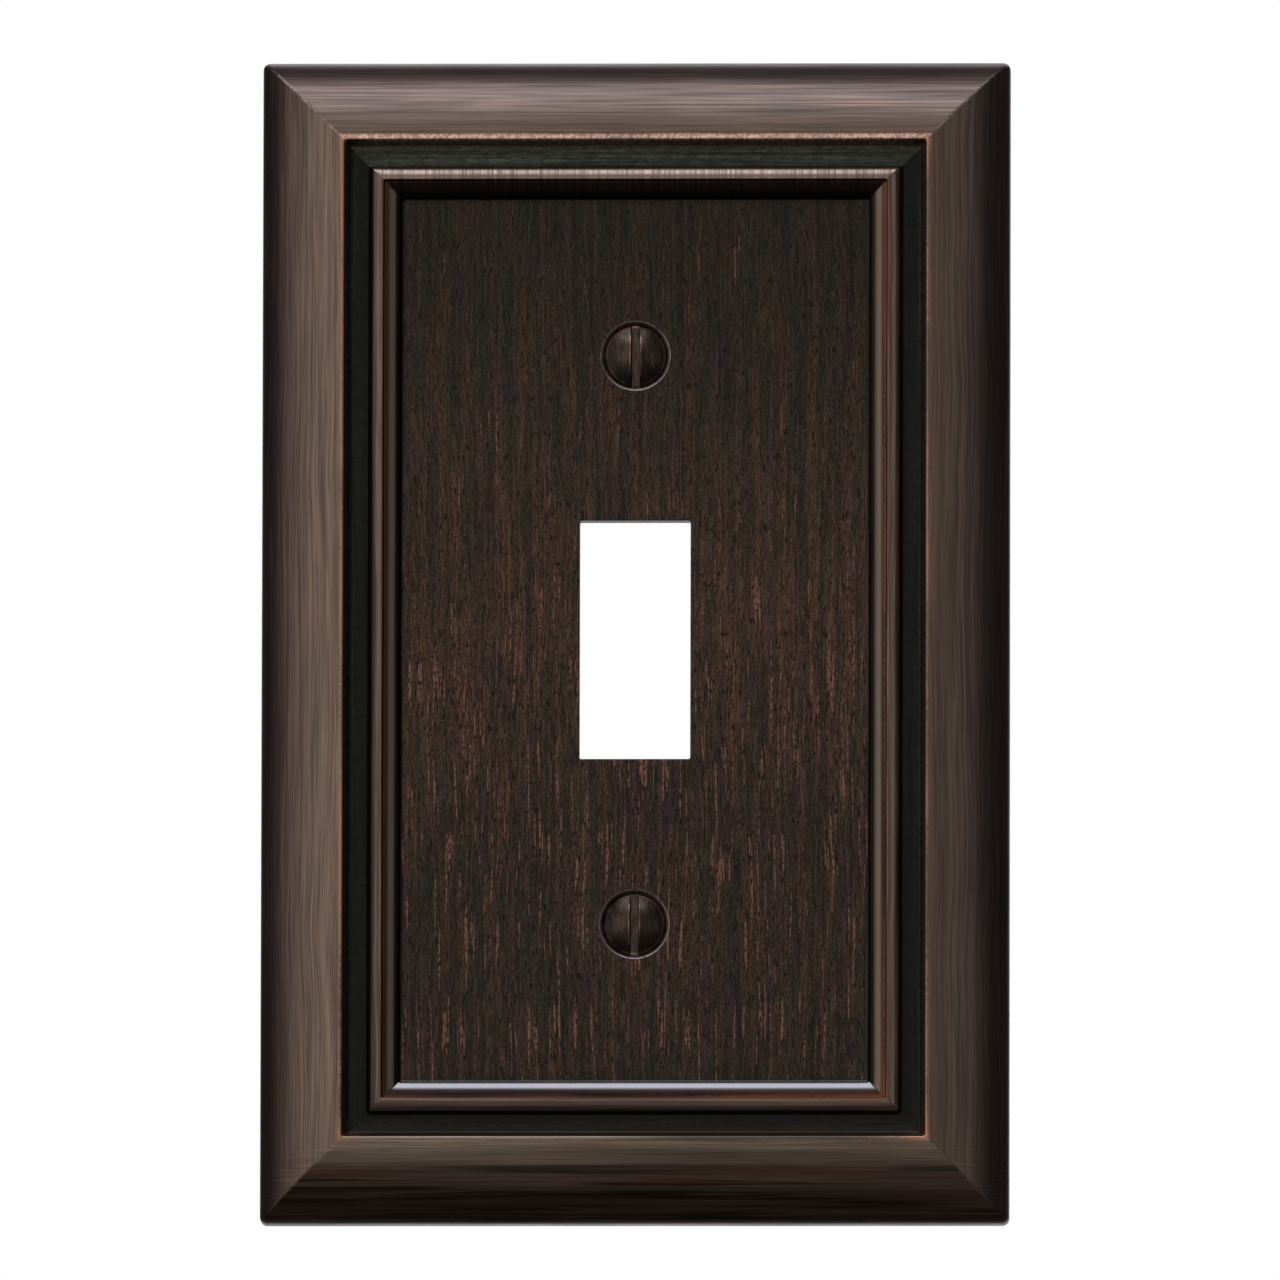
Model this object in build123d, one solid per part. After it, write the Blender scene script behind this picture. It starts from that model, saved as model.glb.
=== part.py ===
from build123d import *
import math
import os

# Single-toggle wall plate, a hollow die-casting, with its two oval-head screws.
# Millimetres. The wall is the plane y = 0 and the plate's front faces -Y; X is width, Z is height.
# The origin is the middle of the plate on the wall plane.

# --- plate outline ---
PLATE_W = 79.0
PLATE_H = 123.3
CORNER_R = 0.75           # plan radius of the outer corners

# --- moulding, as distance in from the outer edge (..._D) and height above the wall (..._H) ---
EDGE_H = 1.9              # upright side wall, where the convex band starts
BAND_A = 9.8              # half axes of the ellipse that the band follows
BAND_B = 5.75
ARRIS_D = 8.8             # inner edge of the band, the highest line of the plate
CHANNEL_D = 9.25          # foot of the wall below the arris
CHANNEL_H = 5.5
BEAD_FOOT_D = 11.35       # channel ends, bead begins
BEAD_WALL_D = 11.5
BEAD_WALL_H = 5.95
BEAD_CREST_D = 12.9       # crest of the bead, a quarter ellipse
BEAD_CREST_H = 6.8
STEP_D = 13.0             # small step down from the crest to the lip
STEP_H = 6.42
LIP_D = 13.85            # where the lip around the panel bends over towards it
LIP_H = 6.3
LIP_END_D = 14.65        # inner edge of the lip
LIP_END_H = 5.8
PANEL_D = 14.75          # foot of the lip
PANEL_H = 5.2             # face of the centre panel
SIDE_D = 16.0             # how far in each mitred side reaches before the flat panel takes over

# --- edge rounding of the moulding ---
ARRIS_R = 0.28
COVE_R = 0.45
BEAD_COVE_R = 0.25
CREST_R = 0.1
LIP_R = 3.6
LIP_END_R = 0.25
PANEL_COVE_R = 0.3

# --- hollow back ---
RIM_W = 1.8               # width of the flat rim that lies on the wall
BACK_H = 3.6              # inner face of the panel
GROOVE_TOP_D = 6.7        # hollow behind the band
GROOVE_TOP_H = 5.7
GROOVE_FOOT_D = 7.7
GROOVE_FOOT_R = 0.5
PIN_MARK_R = 2.0          # round marks that the ejector pins leave on the back
PIN_MARK_DEPTH = 0.15
PIN_MARK_X = 17.0
PIN_MARK_Z = (0.0, 41.0)

# --- toggle opening ---
TOGGLE_W = 11.7
TOGGLE_H = 25.3
TOGGLE_RIM_W = 1.3        # raised rim behind the opening
TOGGLE_RIM_H = 0.8
TOGGLE_EDGE = 0.12        # broken edge on the front

# --- screw holes ---
SCREW_PITCH = 60.325      # 2 3/8 in between the screws of a toggle device
HOLE_R = 2.5
SINK_R = 3.58             # countersink at the panel's face
SINK_HALF_ANGLE = 41.0    # 82 degree countersink
BOSS_R = 5.0
BOSS_H = 1.7              # height above the wall of the boss's rear face
RIM_BREAK = 0.1           # broken edge at the countersink's mouth

# --- 6-32 oval-head screws ---
HEAD_R = 3.2
HEAD_RIM = 0.12           # small upright edge of the head
HEAD_DOME = 1.05
NECK_R = 1.5              # plain neck, the blank's own radius
THREAD_R = 1.75
THREAD_START_H = 1.45     # height above the wall where the thread begins
SCREW_LENGTH = 15.9       # 5/8 in, from the head's rim to the tip
TIP_CHAMFER = 0.4
SLOT_W = 1.0
SLOT_DEPTH = 1.15
SEAT_GAP = 0.06           # between the head's cone and the countersink, along the radius

# --- working allowances ---
OVERLAP = 0.5             # how far an added boss runs into the panel
PAST = 1.0                # how far a cutter runs past the face that it cuts
NEAR = 0.01               # tolerance when an edge is looked up by its place

TAN_SINK = math.tan(math.radians(SINK_HALF_ANGLE))


def band_height(d):
    """Height of the convex band at distance d from the outer edge."""
    along = (BAND_A - d) / BAND_A
    return EDGE_H + BAND_B * math.sqrt(1 - along**2)


def side_section():
    """Cross-section of one side: X is the distance in from the outer edge, Y the height."""
    arris = (ARRIS_D, band_height(ARRIS_D))
    arris_angle = math.degrees(math.acos((BAND_A - ARRIS_D) / BAND_A))
    channel_foot = (CHANNEL_D, CHANNEL_H)
    bead_foot = (BEAD_FOOT_D, CHANNEL_H)
    bead_wall = (BEAD_WALL_D, BEAD_WALL_H)
    crest = (BEAD_CREST_D, BEAD_CREST_H)
    step = (STEP_D, STEP_H)
    lip = (LIP_D, LIP_H)
    lip_end = (LIP_END_D, LIP_END_H)
    panel_foot = (PANEL_D, PANEL_H)
    groove_foot = (GROOVE_FOOT_D, BACK_H)
    groove_top = (GROOVE_TOP_D, GROOVE_TOP_H)
    rim_inner = (RIM_W, EDGE_H)
    with BuildSketch() as section:
        with BuildLine():
            Polyline((RIM_W, 0), (0, 0), (0, EDGE_H))
            EllipticalCenterArc((BAND_A, EDGE_H), BAND_A, BAND_B, start_angle=180, arc_size=-arris_angle)
            Polyline(arris, channel_foot, bead_foot, bead_wall)
            EllipticalCenterArc(
                (BEAD_CREST_D, BEAD_WALL_H),
                BEAD_CREST_D - BEAD_WALL_D,
                BEAD_CREST_H - BEAD_WALL_H,
                start_angle=90,
                arc_size=90,
            )
            Polyline(crest, step, lip, lip_end, panel_foot, (SIDE_D, PANEL_H))
            Polyline((SIDE_D, PANEL_H), (SIDE_D, BACK_H), groove_foot, groove_top)
            EllipticalCenterArc(
                (GROOVE_TOP_D, EDGE_H),
                GROOVE_TOP_D - RIM_W,
                GROOVE_TOP_H - EDGE_H,
                start_angle=90,
                arc_size=90,
            )
            Line(rim_inner, (RIM_W, 0))
        make_face()
        rounding = {
            arris: ARRIS_R,
            channel_foot: COVE_R,
            bead_foot: BEAD_COVE_R,
            crest: CREST_R,
            lip: LIP_R,
            lip_end: LIP_END_R,
            panel_foot: PANEL_COVE_R,
            groove_foot: GROOVE_FOOT_R,
            groove_top: GROOVE_FOOT_R,
        }
        for corner, radius in rounding.items():
            fillet(section.vertices().sort_by_distance((*corner, 0))[0], radius)
    return section.face()


def mitred_side(section, inward, length):
    """One side of the moulding, from the plate's edge inwards, cut at 45 degrees at both ends."""
    across = PLATE_W / 2 if inward.X else PLATE_H / 2
    along = inward.cross(Vector(0, -1, 0))
    plane = Plane(origin=inward * -across, x_dir=inward, z_dir=along)
    stick = extrude(plane * section, amount=length / 2, both=True)
    half = length / 2
    outline = [(0, -half), (SIDE_D, SIDE_D - half), (SIDE_D, half - SIDE_D), (0, half)]
    corners = [inward * (d - across) + along * run for d, run in outline]
    mitre = extrude(make_face(Polyline(*corners, close=True)), amount=PLATE_W / 2, both=True)
    return stick & mitre


def hollow_plate():
    """The four mitred sides and the panel between them, before any opening is cut."""
    section = side_section()
    sides = [
        mitred_side(section, Vector(1, 0, 0), PLATE_H),
        mitred_side(section, Vector(-1, 0, 0), PLATE_H),
        mitred_side(section, Vector(0, 0, 1), PLATE_W),
        mitred_side(section, Vector(0, 0, -1), PLATE_W),
    ]
    panel = Pos(0, -(PANEL_H + BACK_H) / 2, 0) * Box(
        PLATE_W - 2 * SIDE_D, PANEL_H - BACK_H, PLATE_H - 2 * SIDE_D
    )
    plate = panel
    for side in sides:
        plate += side
    outline = Plane.XZ * RectangleRounded(PLATE_W, PLATE_H, CORNER_R)
    return plate & extrude(outline, amount=PLATE_W / 2, both=True)


def revolved(points, height):
    """A solid turned about the screw axis at z = height from (radius, height above wall) points."""
    outline = make_face(Polyline(*[(r, -h) for r, h in points], close=True))
    return Pos(0, 0, height) * revolve(outline, Axis.Y)


def screw_hole(height):
    """Countersunk hole with a slightly broken mouth."""
    sink_depth = (SINK_R - HOLE_R) / TAN_SINK
    mouth = SINK_R + RIM_BREAK
    points = [
        (0, PANEL_H + PAST),
        (mouth, PANEL_H + PAST),
        (mouth, PANEL_H),
        (SINK_R, PANEL_H - RIM_BREAK),
        (HOLE_R, PANEL_H - RIM_BREAK - sink_depth),
        (HOLE_R, 0),
        (0, 0),
    ]
    return revolved(points, height)


def cover_plate():
    plate = hollow_plate()
    rim = Pos(0, -(BACK_H - TOGGLE_RIM_H / 2), 0) * Box(
        TOGGLE_W + 2 * TOGGLE_RIM_W, TOGGLE_RIM_H, TOGGLE_H + 2 * TOGGLE_RIM_W
    )
    plate += rim
    for side in (-1, 1):
        height = side * SCREW_PITCH / 2
        boss_root = BACK_H + OVERLAP
        boss_points = [(0, BOSS_H), (BOSS_R, BOSS_H), (BOSS_R, boss_root), (0, boss_root)]
        plate += revolved(boss_points, height)
        plate -= screw_hole(height)
    plate -= Box(TOGGLE_W, PLATE_W, TOGGLE_H)
    front_edges = plate.edges().filter_by_position(Axis.Y, -PANEL_H - NEAR, -PANEL_H + NEAR)
    toggle_edges = [
        edge
        for edge in front_edges
        if abs(edge.center().X) <= TOGGLE_W / 2 + NEAR and abs(edge.center().Z) <= TOGGLE_H / 2 + NEAR
    ]
    plate = chamfer(toggle_edges, TOGGLE_EDGE)
    for x in (-PIN_MARK_X, PIN_MARK_X):
        for z in sorted({sign * z for z in PIN_MARK_Z for sign in (-1, 1)}):
            mark = Cylinder(PIN_MARK_R, 2 * PIN_MARK_DEPTH, rotation=(90, 0, 0))
            plate -= Pos(x, -BACK_H, z) * mark
    return plate


def screw(height):
    """Oval-head slotted screw, seated in the countersink at z = height, slot upright."""
    cone_top = PANEL_H - RIM_BREAK - (SINK_R - HEAD_R - SEAT_GAP) / TAN_SINK
    head_top = cone_top + HEAD_RIM
    neck_top = cone_top - (HEAD_R - NECK_R) / TAN_SINK
    tip = head_top - SCREW_LENGTH
    dome_r = (HEAD_R**2 + HEAD_DOME**2) / (2 * HEAD_DOME)
    mid_r = HEAD_R / 2
    mid_h = head_top + HEAD_DOME - dome_r + math.sqrt(dome_r**2 - mid_r**2)
    with BuildSketch() as outline:
        with BuildLine():
            ThreePointArc((0, -head_top - HEAD_DOME), (mid_r, -mid_h), (HEAD_R, -head_top))
            Polyline(
                (HEAD_R, -head_top),
                (HEAD_R, -cone_top),
                (NECK_R, -neck_top),
                (NECK_R, -THREAD_START_H - TIP_CHAMFER),
                (THREAD_R, -THREAD_START_H),
                (THREAD_R, -tip - TIP_CHAMFER),
                (THREAD_R - TIP_CHAMFER, -tip),
                (0, -tip),
                (0, -head_top - HEAD_DOME),
            )
        make_face()
    body = revolve(outline.face(), Axis.Y)
    slot_centre = head_top + HEAD_DOME
    slot = Pos(0, -slot_centre, 0) * Box(SLOT_W, 2 * SLOT_DEPTH, 2 * (HEAD_R + PAST))
    return Pos(0, 0, height) * (body - slot)


def write_nodes():
    nodes = {
        "cover_plate": cover_plate(),
        "upper_screw": screw(SCREW_PITCH / 2),
        "lower_screw": screw(-SCREW_PITCH / 2),
    }
    os.makedirs("parts", exist_ok=True)
    for name, shape in nodes.items():
        export_step(shape, f"parts/{name}.step")


write_nodes()
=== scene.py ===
import math

import bmesh
import bpy
from mathutils import Matrix, Vector
from mathutils.geometry import delaunay_2d_cdt


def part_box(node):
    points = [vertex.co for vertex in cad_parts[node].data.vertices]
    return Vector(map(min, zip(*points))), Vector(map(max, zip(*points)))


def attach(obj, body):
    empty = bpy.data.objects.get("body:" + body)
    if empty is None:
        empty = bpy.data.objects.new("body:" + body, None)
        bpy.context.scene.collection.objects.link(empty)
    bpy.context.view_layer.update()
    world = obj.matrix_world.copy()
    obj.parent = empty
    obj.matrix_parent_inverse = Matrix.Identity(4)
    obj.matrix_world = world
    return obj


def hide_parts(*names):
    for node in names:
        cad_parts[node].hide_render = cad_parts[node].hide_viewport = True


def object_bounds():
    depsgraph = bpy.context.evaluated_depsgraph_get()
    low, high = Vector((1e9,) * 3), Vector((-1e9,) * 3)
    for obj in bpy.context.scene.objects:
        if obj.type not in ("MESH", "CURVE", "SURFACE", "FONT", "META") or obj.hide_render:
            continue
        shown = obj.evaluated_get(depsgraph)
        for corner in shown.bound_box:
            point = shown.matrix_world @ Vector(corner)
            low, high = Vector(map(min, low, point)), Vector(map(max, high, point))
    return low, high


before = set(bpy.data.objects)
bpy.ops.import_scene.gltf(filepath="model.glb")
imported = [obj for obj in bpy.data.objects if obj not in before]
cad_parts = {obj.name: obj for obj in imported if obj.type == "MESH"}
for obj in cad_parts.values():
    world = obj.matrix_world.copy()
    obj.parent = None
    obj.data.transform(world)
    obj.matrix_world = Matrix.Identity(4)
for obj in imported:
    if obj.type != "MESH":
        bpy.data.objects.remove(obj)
CAD_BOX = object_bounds()
MM = 0.001

# --- the plate, read from the frame; lengths below are in millimetres ---
PLATE_LOW, PLATE_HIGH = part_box("cover_plate")
HALF_W = PLATE_HIGH.x / MM
HALF_H = PLATE_HIGH.z / MM
SCREW_LOW, SCREW_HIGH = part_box("upper_screw")
SCREW_Z = (SCREW_LOW.z + SCREW_HIGH.z) / 2 / MM

# --- moulding: distance in from the outer edge (..._D) and height above the wall (..._H) ---
EDGE_H = 1.9
BAND_A = 9.8
BAND_B = 5.75
ARRIS_D = 8.8
CHANNEL_D = 9.25
CHANNEL_H = 5.5
BEAD_FOOT_D = 11.35
BEAD_WALL_D = 11.5
BEAD_WALL_H = 5.95
BEAD_CREST_D = 12.9
BEAD_CREST_H = 6.8
STEP_D = 13.0
STEP_H = 6.42
LIP_D = 13.85
LIP_H = 6.3
LIP_END_D = 14.65
LIP_END_H = 5.8
PANEL_D = 14.75
PANEL_H = 5.2
PANEL_START_D = 15.2  # the flat panel, past the cove at its edge
RIM_W = 1.8
BACK_H = 3.6
GROOVE_TOP_D = 6.7
GROOVE_TOP_H = 5.7
GROOVE_FOOT_D = 7.7
BACK_START_D = 8.8

# --- roundings of the moulding's section ---
RIM_R = 0.15
BACK_R = 0.5
ARRIS_R = 0.26
CHANNEL_R = 0.45
BEAD_FOOT_R = 0.2
BEAD_EDGE_R = 0.09
STEP_R = 0.05
LIP_R = 3.5
LIP_END_R = 0.23
PANEL_R = 0.28

# --- plan radii of the moulding's corners ---
OUTLINE_R = 0.75
OUTLINE_TAPER = 0.5  # how fast the outline's radius shrinks inwards
MITRE_R = 0.3
GROOVE_R = 1.2

# --- openings ---
TOGGLE_W = 11.7
TOGGLE_H = 25.3
TOGGLE_R = 0.2
TOGGLE_EDGE_R = 0.12
TOGGLE_RIM_W = 1.3
TOGGLE_RIM_H = 0.8
HOLE_R = 2.5
SINK_R = 3.58
SINK_TAN = math.tan(math.radians(41.0))
BOSS_R = 5.0
BOSS_H = 1.7
PIN_MARK_R = 2.0
PIN_MARK_DEPTH = 0.15
PIN_MARKS = [(x, z) for x in (-17.0, 17.0) for z in (-41.0, 0.0, 41.0)]
FRONT_APRON = 0.45  # flat margin around an opening on the front that its own loops make
BACK_APRON = 0.6  # the same on the back
MARK_APRON = 0.5  # and around a pin mark
NET = 2.2  # spacing of the triangles on the flat faces
LITTLE = 0.02  # tolerance on a place

# --- screws ---
HEAD_R = 3.2
HEAD_RIM = 0.12
HEAD_DOME = 1.05
NECK_R = 1.5
CREST_R = 1.75
ROOT_R = 1.3
THREAD_PITCH = 25.4 / 32
THREAD_START_H = 1.45
THREAD_ROOT = 0.1  # shares of the pitch that are the root's flat and the two flanks
THREAD_FLANKS = 0.74
NECK_LENGTH = 0.35  # plain neck above the thread
FADE_IN = 0.9  # lengths over which the thread rises from the neck and narrows at the tip
FADE_OUT = 0.55
TIP_DROP = 0.25  # how far the tip is below the thread's root
THREAD_STEPS = 190
SCREW_SIDES = 64
SLOT_W = 1.0
SLOT_DEPTH = 1.15
SLOT_R = 0.15
BROKEN_EDGE = 0.05

# --- finish: linear colours of the dark and the light strokes by the distance in, then roughness ---
MOULDING_REACH = 16.0  # the distance in at which the stops end
STROKE_STOPS = [
    (0.0, (0.085, 0.055, 0.05), (0.15, 0.1, 0.09)),
    (3.0, (0.125, 0.09, 0.08), (0.21, 0.155, 0.138)),
    (7.0, (0.14, 0.105, 0.085), (0.245, 0.176, 0.138)),
    (8.6, (0.12, 0.08, 0.062), (0.22, 0.15, 0.12)),
    # the 9.0 and 9.25 stops paint the channel's outer wall lighter: painted light that lifts the wall out of
    # its shade
    (9.0, (0.18, 0.17, 0.14), (0.26, 0.25, 0.21)),
    (9.25, (0.07, 0.07, 0.058), (0.1, 0.1, 0.085)),
    (9.55, (0.012, 0.013, 0.01), (0.026, 0.028, 0.022)),
    (11.3, (0.005, 0.006, 0.005), (0.011, 0.013, 0.01)),
    (11.6, (0.12, 0.088, 0.07), (0.27, 0.205, 0.17)),
    (12.6, (0.15, 0.1, 0.08), (0.29, 0.21, 0.17)),
    (13.1, (0.022, 0.012, 0.009), (0.06, 0.026, 0.018)),
    (14.8, (0.01, 0.009, 0.007), (0.026, 0.022, 0.018)),
    (15.2, (0.024, 0.018, 0.013), (0.066, 0.044, 0.032)),
    (16.0, (0.028, 0.021, 0.015), (0.078, 0.052, 0.038)),
]
ROUGH_STOPS = [
    (0.0, 0.42), (8.6, 0.38), (9.0, 0.6), (11.3, 0.6), (11.6, 0.32), (12.8, 0.32), (13.2, 0.45), (15.2, 0.45)
]

# painted light on the panel from the plate's lower end (0) to its upper end (1): lightest a little above the
# middle, darker towards both ends, darkest at the upper end
PANEL_LIGHT_POOL = [
    (0.0, (0.84, 0.84, 0.82)),
    (0.28, (0.98, 0.95, 0.92)),
    (0.52, (1.38, 1.2, 1.1)),
    (0.74, (0.95, 0.93, 0.88)),
    (1.0, (0.4, 0.44, 0.38)),
]

# tint of the lower band from the outer edge inwards
LOWER_TINTS = [
    (0.0, (1.45, 1.25, 1.05)),
    (2.5, (1.05, 0.92, 0.72)),
    (4.5, (0.92, 0.84, 0.8)),
    (7.0, (1.25, 1.38, 1.36)),
    (16.0, (1.15, 1.15, 1.15)),
]

# linear colours of the plate
SOOT = (0.022, 0.024, 0.017)
RUSSET = (0.2, 0.085, 0.055)
CHANNEL_STAIN = (0.045, 0.02, 0.012)
FOOT_RUST = (0.17, 0.062, 0.038)
RED_TINT = (1.42, 1.1, 1.0)
GREEN_TINT = (0.66, 0.76, 0.7)
PLUM_TINT = (1.02, 0.9, 1.32)
DASH_COPPER = (0.27, 0.13, 0.1)
DASH_FLANK = (0.006, 0.005, 0.005)
PIT_BLACK = (0.004, 0.004, 0.003)
BAND_GLINT = (0.36, 0.21, 0.155)
ARRIS_COPPER = (0.42, 0.225, 0.165)
# copper of the arris on the top side, made brighter as a painted highlight as well as wear
TOP_COPPER_HIGHLIGHT = (0.76, 0.5, 0.42)
CORNER_COPPER = (0.46, 0.21, 0.13)
CREST_COPPER = (0.18, 0.064, 0.036)
OUTLINE_COPPER = (0.26, 0.12, 0.09)
TOGGLE_COPPER = (0.22, 0.11, 0.08)
MITRE_GLINT = (0.55, 0.5, 0.48)
LIP_BROWN = (0.17, 0.13, 0.1)
# the lip on the bottom side: a painted highlight, pale and bluish
LIP_HIGHLIGHT = (0.3, 0.29, 0.305)
CONE_GREY = (0.15, 0.148, 0.142)
SINK_RIM = (0.6, 0.52, 0.5)
CAST_BROWN = (0.17, 0.138, 0.118)
CAST_GREY = (0.26, 0.25, 0.235)

# linear colours of the screws
HEAD_DARK = (0.035, 0.027, 0.021)
HEAD_LIGHT = (0.085, 0.056, 0.043)
HEAD_COPPER = (0.32, 0.17, 0.12)
ZINC_BRIGHT = (0.42, 0.42, 0.4)
ZINC_DULL = (0.3, 0.28, 0.22)

# noises that follow the brush: features per millimetre across and along it, detail, roughness
STROKES = dict(
    hair=(8.0, 0.1, 2, 0.6),
    lines=(3.2, 0.035, 2, 0.6),
    broad=(0.7, 0.012, 1, 0.5),
    grain=(7.5, 2.6, 1, 0.5),
    glints=(5.5, 0.06, 2, 0.5),
    soot=(1.3, 0.03, 2, 0.5),
    russet=(1.7, 0.035, 2, 0.5),
    column=(1.0, 0.05, 3, 0.6),
    plum=(1.3, 0.09, 2, 0.5),
    fibre=(5.0, 0.45, 1, 0.5),
    rows=(3.4, 0.11, 1, 0.5),
    dots=(4.5, 1.8, 1, 0.5),
    pits=(4.6, 0.8, 1, 0.5),
)
STROKES_DEEP = 0.4  # features per millimetre along Y
WANDER_REACH = 1.5  # how far the upright strokes wander sideways

# the other noises: features per millimetre along X, Y and Z, then detail, roughness, distortion
SPOTS = dict(
    wander=((0.05, 0.05, 0.05), 2, 0.5, 0.0),
    blotches=((0.06, 0.06, 0.05), 2, 0.5, 0.0),
    patchy=((0.07, 0.07, 0.05), 1, 0.5, 0.0),
    cross=((0.1, 0.4, 7.0), 2, 0.6, 0.0),
    scribble=((0.9, 0.9, 2.5), 2, 0.5, 1.0),
    ragged=((2.4, 1.0, 2.4), 3, 0.7, 0.0),
    scratches=((3.2, 1.0, 3.2), 2, 0.5, 0.0),
    sand=((3.0, 3.0, 3.0), 4, 0.7, 0.0),
    flow=((0.12, 0.12, 0.12), 3, 0.5, 1.5),
    fine=((6.0, 1.0, 0.8), 3, 0.6, 0.0),
    blotch=((0.5, 0.5, 0.5), 3, 0.5, 0.0),
)
HOLE_TURNS = 9.0  # turned rings per millimetre in the screw holes' cones
SHANK_TURNS = 7.0  # and on the screws
PLATE_RELIEF = 0.014
SCREW_RELIEF = 0.012

# --- studio, in metres ---
CENTRE = (PLATE_LOW + PLATE_HIGH) / 2
COOL = (0.93, 0.97, 1.06)
WARM = (1.0, 0.94, 0.86)
# name, azimuth, elevation, distance, width, height, radiance, colour
SOFTBOXES = [
    ("key", -10, 55, 1.3, 1.2, 0.76, 1.65, COOL),
    ("front", -20, 8, 1.6, 1.6, 0.95, 0.68, WARM),
    ("left", -62, 2, 1.5, 0.7, 1.5, 0.31, WARM),
    ("right", 36, 4, 1.5, 0.76, 0.9, 0.265, WARM),
    ("low", -6, -30, 1.5, 1.0, 0.5, 0.13, WARM),
    ("back", 176, 40, 1.5, 1.2, 1.0, 0.9, COOL),
    ("rear", 180, -8, 1.6, 1.5, 1.2, 0.6, COOL),
]
WATTS_PER_RADIANCE = 4  # of each square metre of an area light
WORLD_GREY = 0.05
FLOOR_GREY = 0.82
FLOOR_ROUGHNESS = 0.9
FLOOR_REACH = 4.0
FLOOR_DROP = 0.75  # below the object
CAMERA_LENS = 1200
CAMERA_AZIMUTH = 1.5
CAMERA_ELEVATION = -6.5
CAMERA_ROLL = 0.13
PLATE_SHARE = 0.585  # plate's width as a share of the picture's
AIM_OFFSET = (0.5, 0.0, 0.12)  # millimetres


# --- mesh helpers ---

def softened(corners, steps=6):
    """Points along a path of (x, y, radius) corners, each one rounded by an arc of its radius."""
    points = []
    last = len(corners) - 1
    for index, (x, y, radius) in enumerate(corners):
        here = Vector((x, y))
        if radius == 0 or index in (0, last):
            points.append(here)
            continue
        back = (Vector(corners[index - 1][:2]) - here).normalized()
        ahead = (Vector(corners[index + 1][:2]) - here).normalized()
        half = back.angle(ahead) / 2
        centre = here + (back + ahead).normalized() * radius / math.sin(half)
        arm = here + back * radius / math.tan(half) - centre
        turn = math.copysign(math.pi - 2 * half, back.cross(ahead))
        for step in range(steps + 1):
            points.append(centre + Matrix.Rotation(-turn * step / steps, 2) @ arm)
    return points


def ellipse(centre, a, b, start, end, steps):
    """Corners without rounding along an elliptical arc, angles in degrees."""
    points = []
    for step in range(steps + 1):
        angle = math.radians(start + (end - start) * step / steps)
        points.append((centre[0] + a * math.cos(angle), centre[1] + b * math.sin(angle), 0))
    return points


def rectangle_loop(half_x, half_z, radius, steps_x, steps_z, steps_corner=6):
    """Points (x, z) around a rounded rectangle, always the same number in the same order."""
    arcs = []
    for quarter, (side_x, side_z) in enumerate([(1, 1), (-1, 1), (-1, -1), (1, -1)]):
        centre = Vector((side_x * (half_x - radius), side_z * (half_z - radius)))
        turns = [math.radians(90 * (quarter + step / steps_corner)) for step in range(steps_corner + 1)]
        arcs.append([centre + radius * Vector((math.cos(turn), math.sin(turn))) for turn in turns])
    points = []
    for quarter, arc in enumerate(arcs):
        following = arcs[(quarter + 1) % 4][0]
        steps = steps_z if quarter % 2 else steps_x
        points += arc + [arc[-1].lerp(following, step / steps) for step in range(1, steps)]
    return points


def circle_loop(x, z, radius, steps=72):
    """Points (x, z) around a circle."""
    turns = [2 * math.pi * step / steps for step in range(steps)]
    return [Vector((x + radius * math.cos(turn), z + radius * math.sin(turn))) for turn in turns]


def new_mesh():
    """An empty mesh whose points can be marked as belonging to the hidden back."""
    mesh = bmesh.new()
    mesh.verts.layers.float.new("back_side")
    return mesh


def add_point(mesh, x, height, z, behind=0.0):
    """A vertex from millimetres, with the share of it that belongs to the hidden back."""
    vert = mesh.verts.new((x * MM, -height * MM, z * MM))
    vert[mesh.verts.layers.float["back_side"]] = behind
    return vert


def add_loop(mesh, points, height, behind=0.0):
    """Vertices for a loop of (x, z) points at one height."""
    return [add_point(mesh, p.x, height, p.y, behind) for p in points]


def join_loops(mesh, loops):
    """Quads between each loop and the next."""
    for one, two in zip(loops, loops[1:]):
        count = len(one)
        for index in range(count):
            following = (index + 1) % count
            mesh.faces.new((one[index], one[following], two[following], two[index]))


def fill_between(mesh, outer, holes, height, is_open, behind=0.0):
    """Flat face between an outer loop and the loops of its holes, with an even net of triangles."""
    loops = [outer] + holes
    verts = [vert for loop in loops for vert in loop]
    flat = [Vector((vert.co.x / MM, vert.co.z / MM)) for vert in verts]
    edges = []
    for loop in loops:
        start = len(edges)
        count = len(loop)
        edges += [(start + index, start + (index + 1) % count) for index in range(count)]
    reach_x = max(p.x for p in flat) - NET / 2
    reach_z = max(p.y for p in flat) - NET / 2
    net = []
    for row in range(int(2 * reach_z / NET) + 1):
        for column in range(int(2 * reach_x / NET) + 1):
            point = Vector((column * NET + NET / 2 * (row % 2) - reach_x, row * NET - reach_z))
            clear = min((point - p).length for p in flat) > NET / 2
            if clear and point.x < reach_x and not is_open(point):
                net.append(point)
    found, _, faces, origins, _, _ = delaunay_2d_cdt(flat + net, edges, [], 1, 1e-6)
    made = []
    for point, origin in zip(found, origins):
        known = [index for index in origin if index < len(verts)]
        made.append(verts[known[0]] if known else add_point(mesh, point.x, height, point.y, behind))
    for face in faces:
        middle = sum((found[index] for index in face), Vector((0, 0))) / len(face)
        if not is_open(middle):
            mesh.faces.new([made[index] for index in face])


def as_object(mesh, name):
    """An object in the scene from a finished bmesh."""
    data = bpy.data.meshes.new(name)
    mesh.to_mesh(data)
    mesh.free()
    made = bpy.data.objects.new(name, data)
    bpy.context.scene.collection.objects.link(made)
    return made


def finished_piece(mesh, name):
    """An object with smooth faces whose normals lean towards the larger faces."""
    bmesh.ops.recalc_face_normals(mesh, faces=mesh.faces)
    for face in mesh.faces:
        face.smooth = True
    piece = as_object(mesh, name)
    weighted = piece.modifiers.new("weighted_normals", "WEIGHTED_NORMAL")
    weighted.mode = "FACE_AREA"
    weighted.weight = 50
    weighted.keep_sharp = True
    return piece


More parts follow.
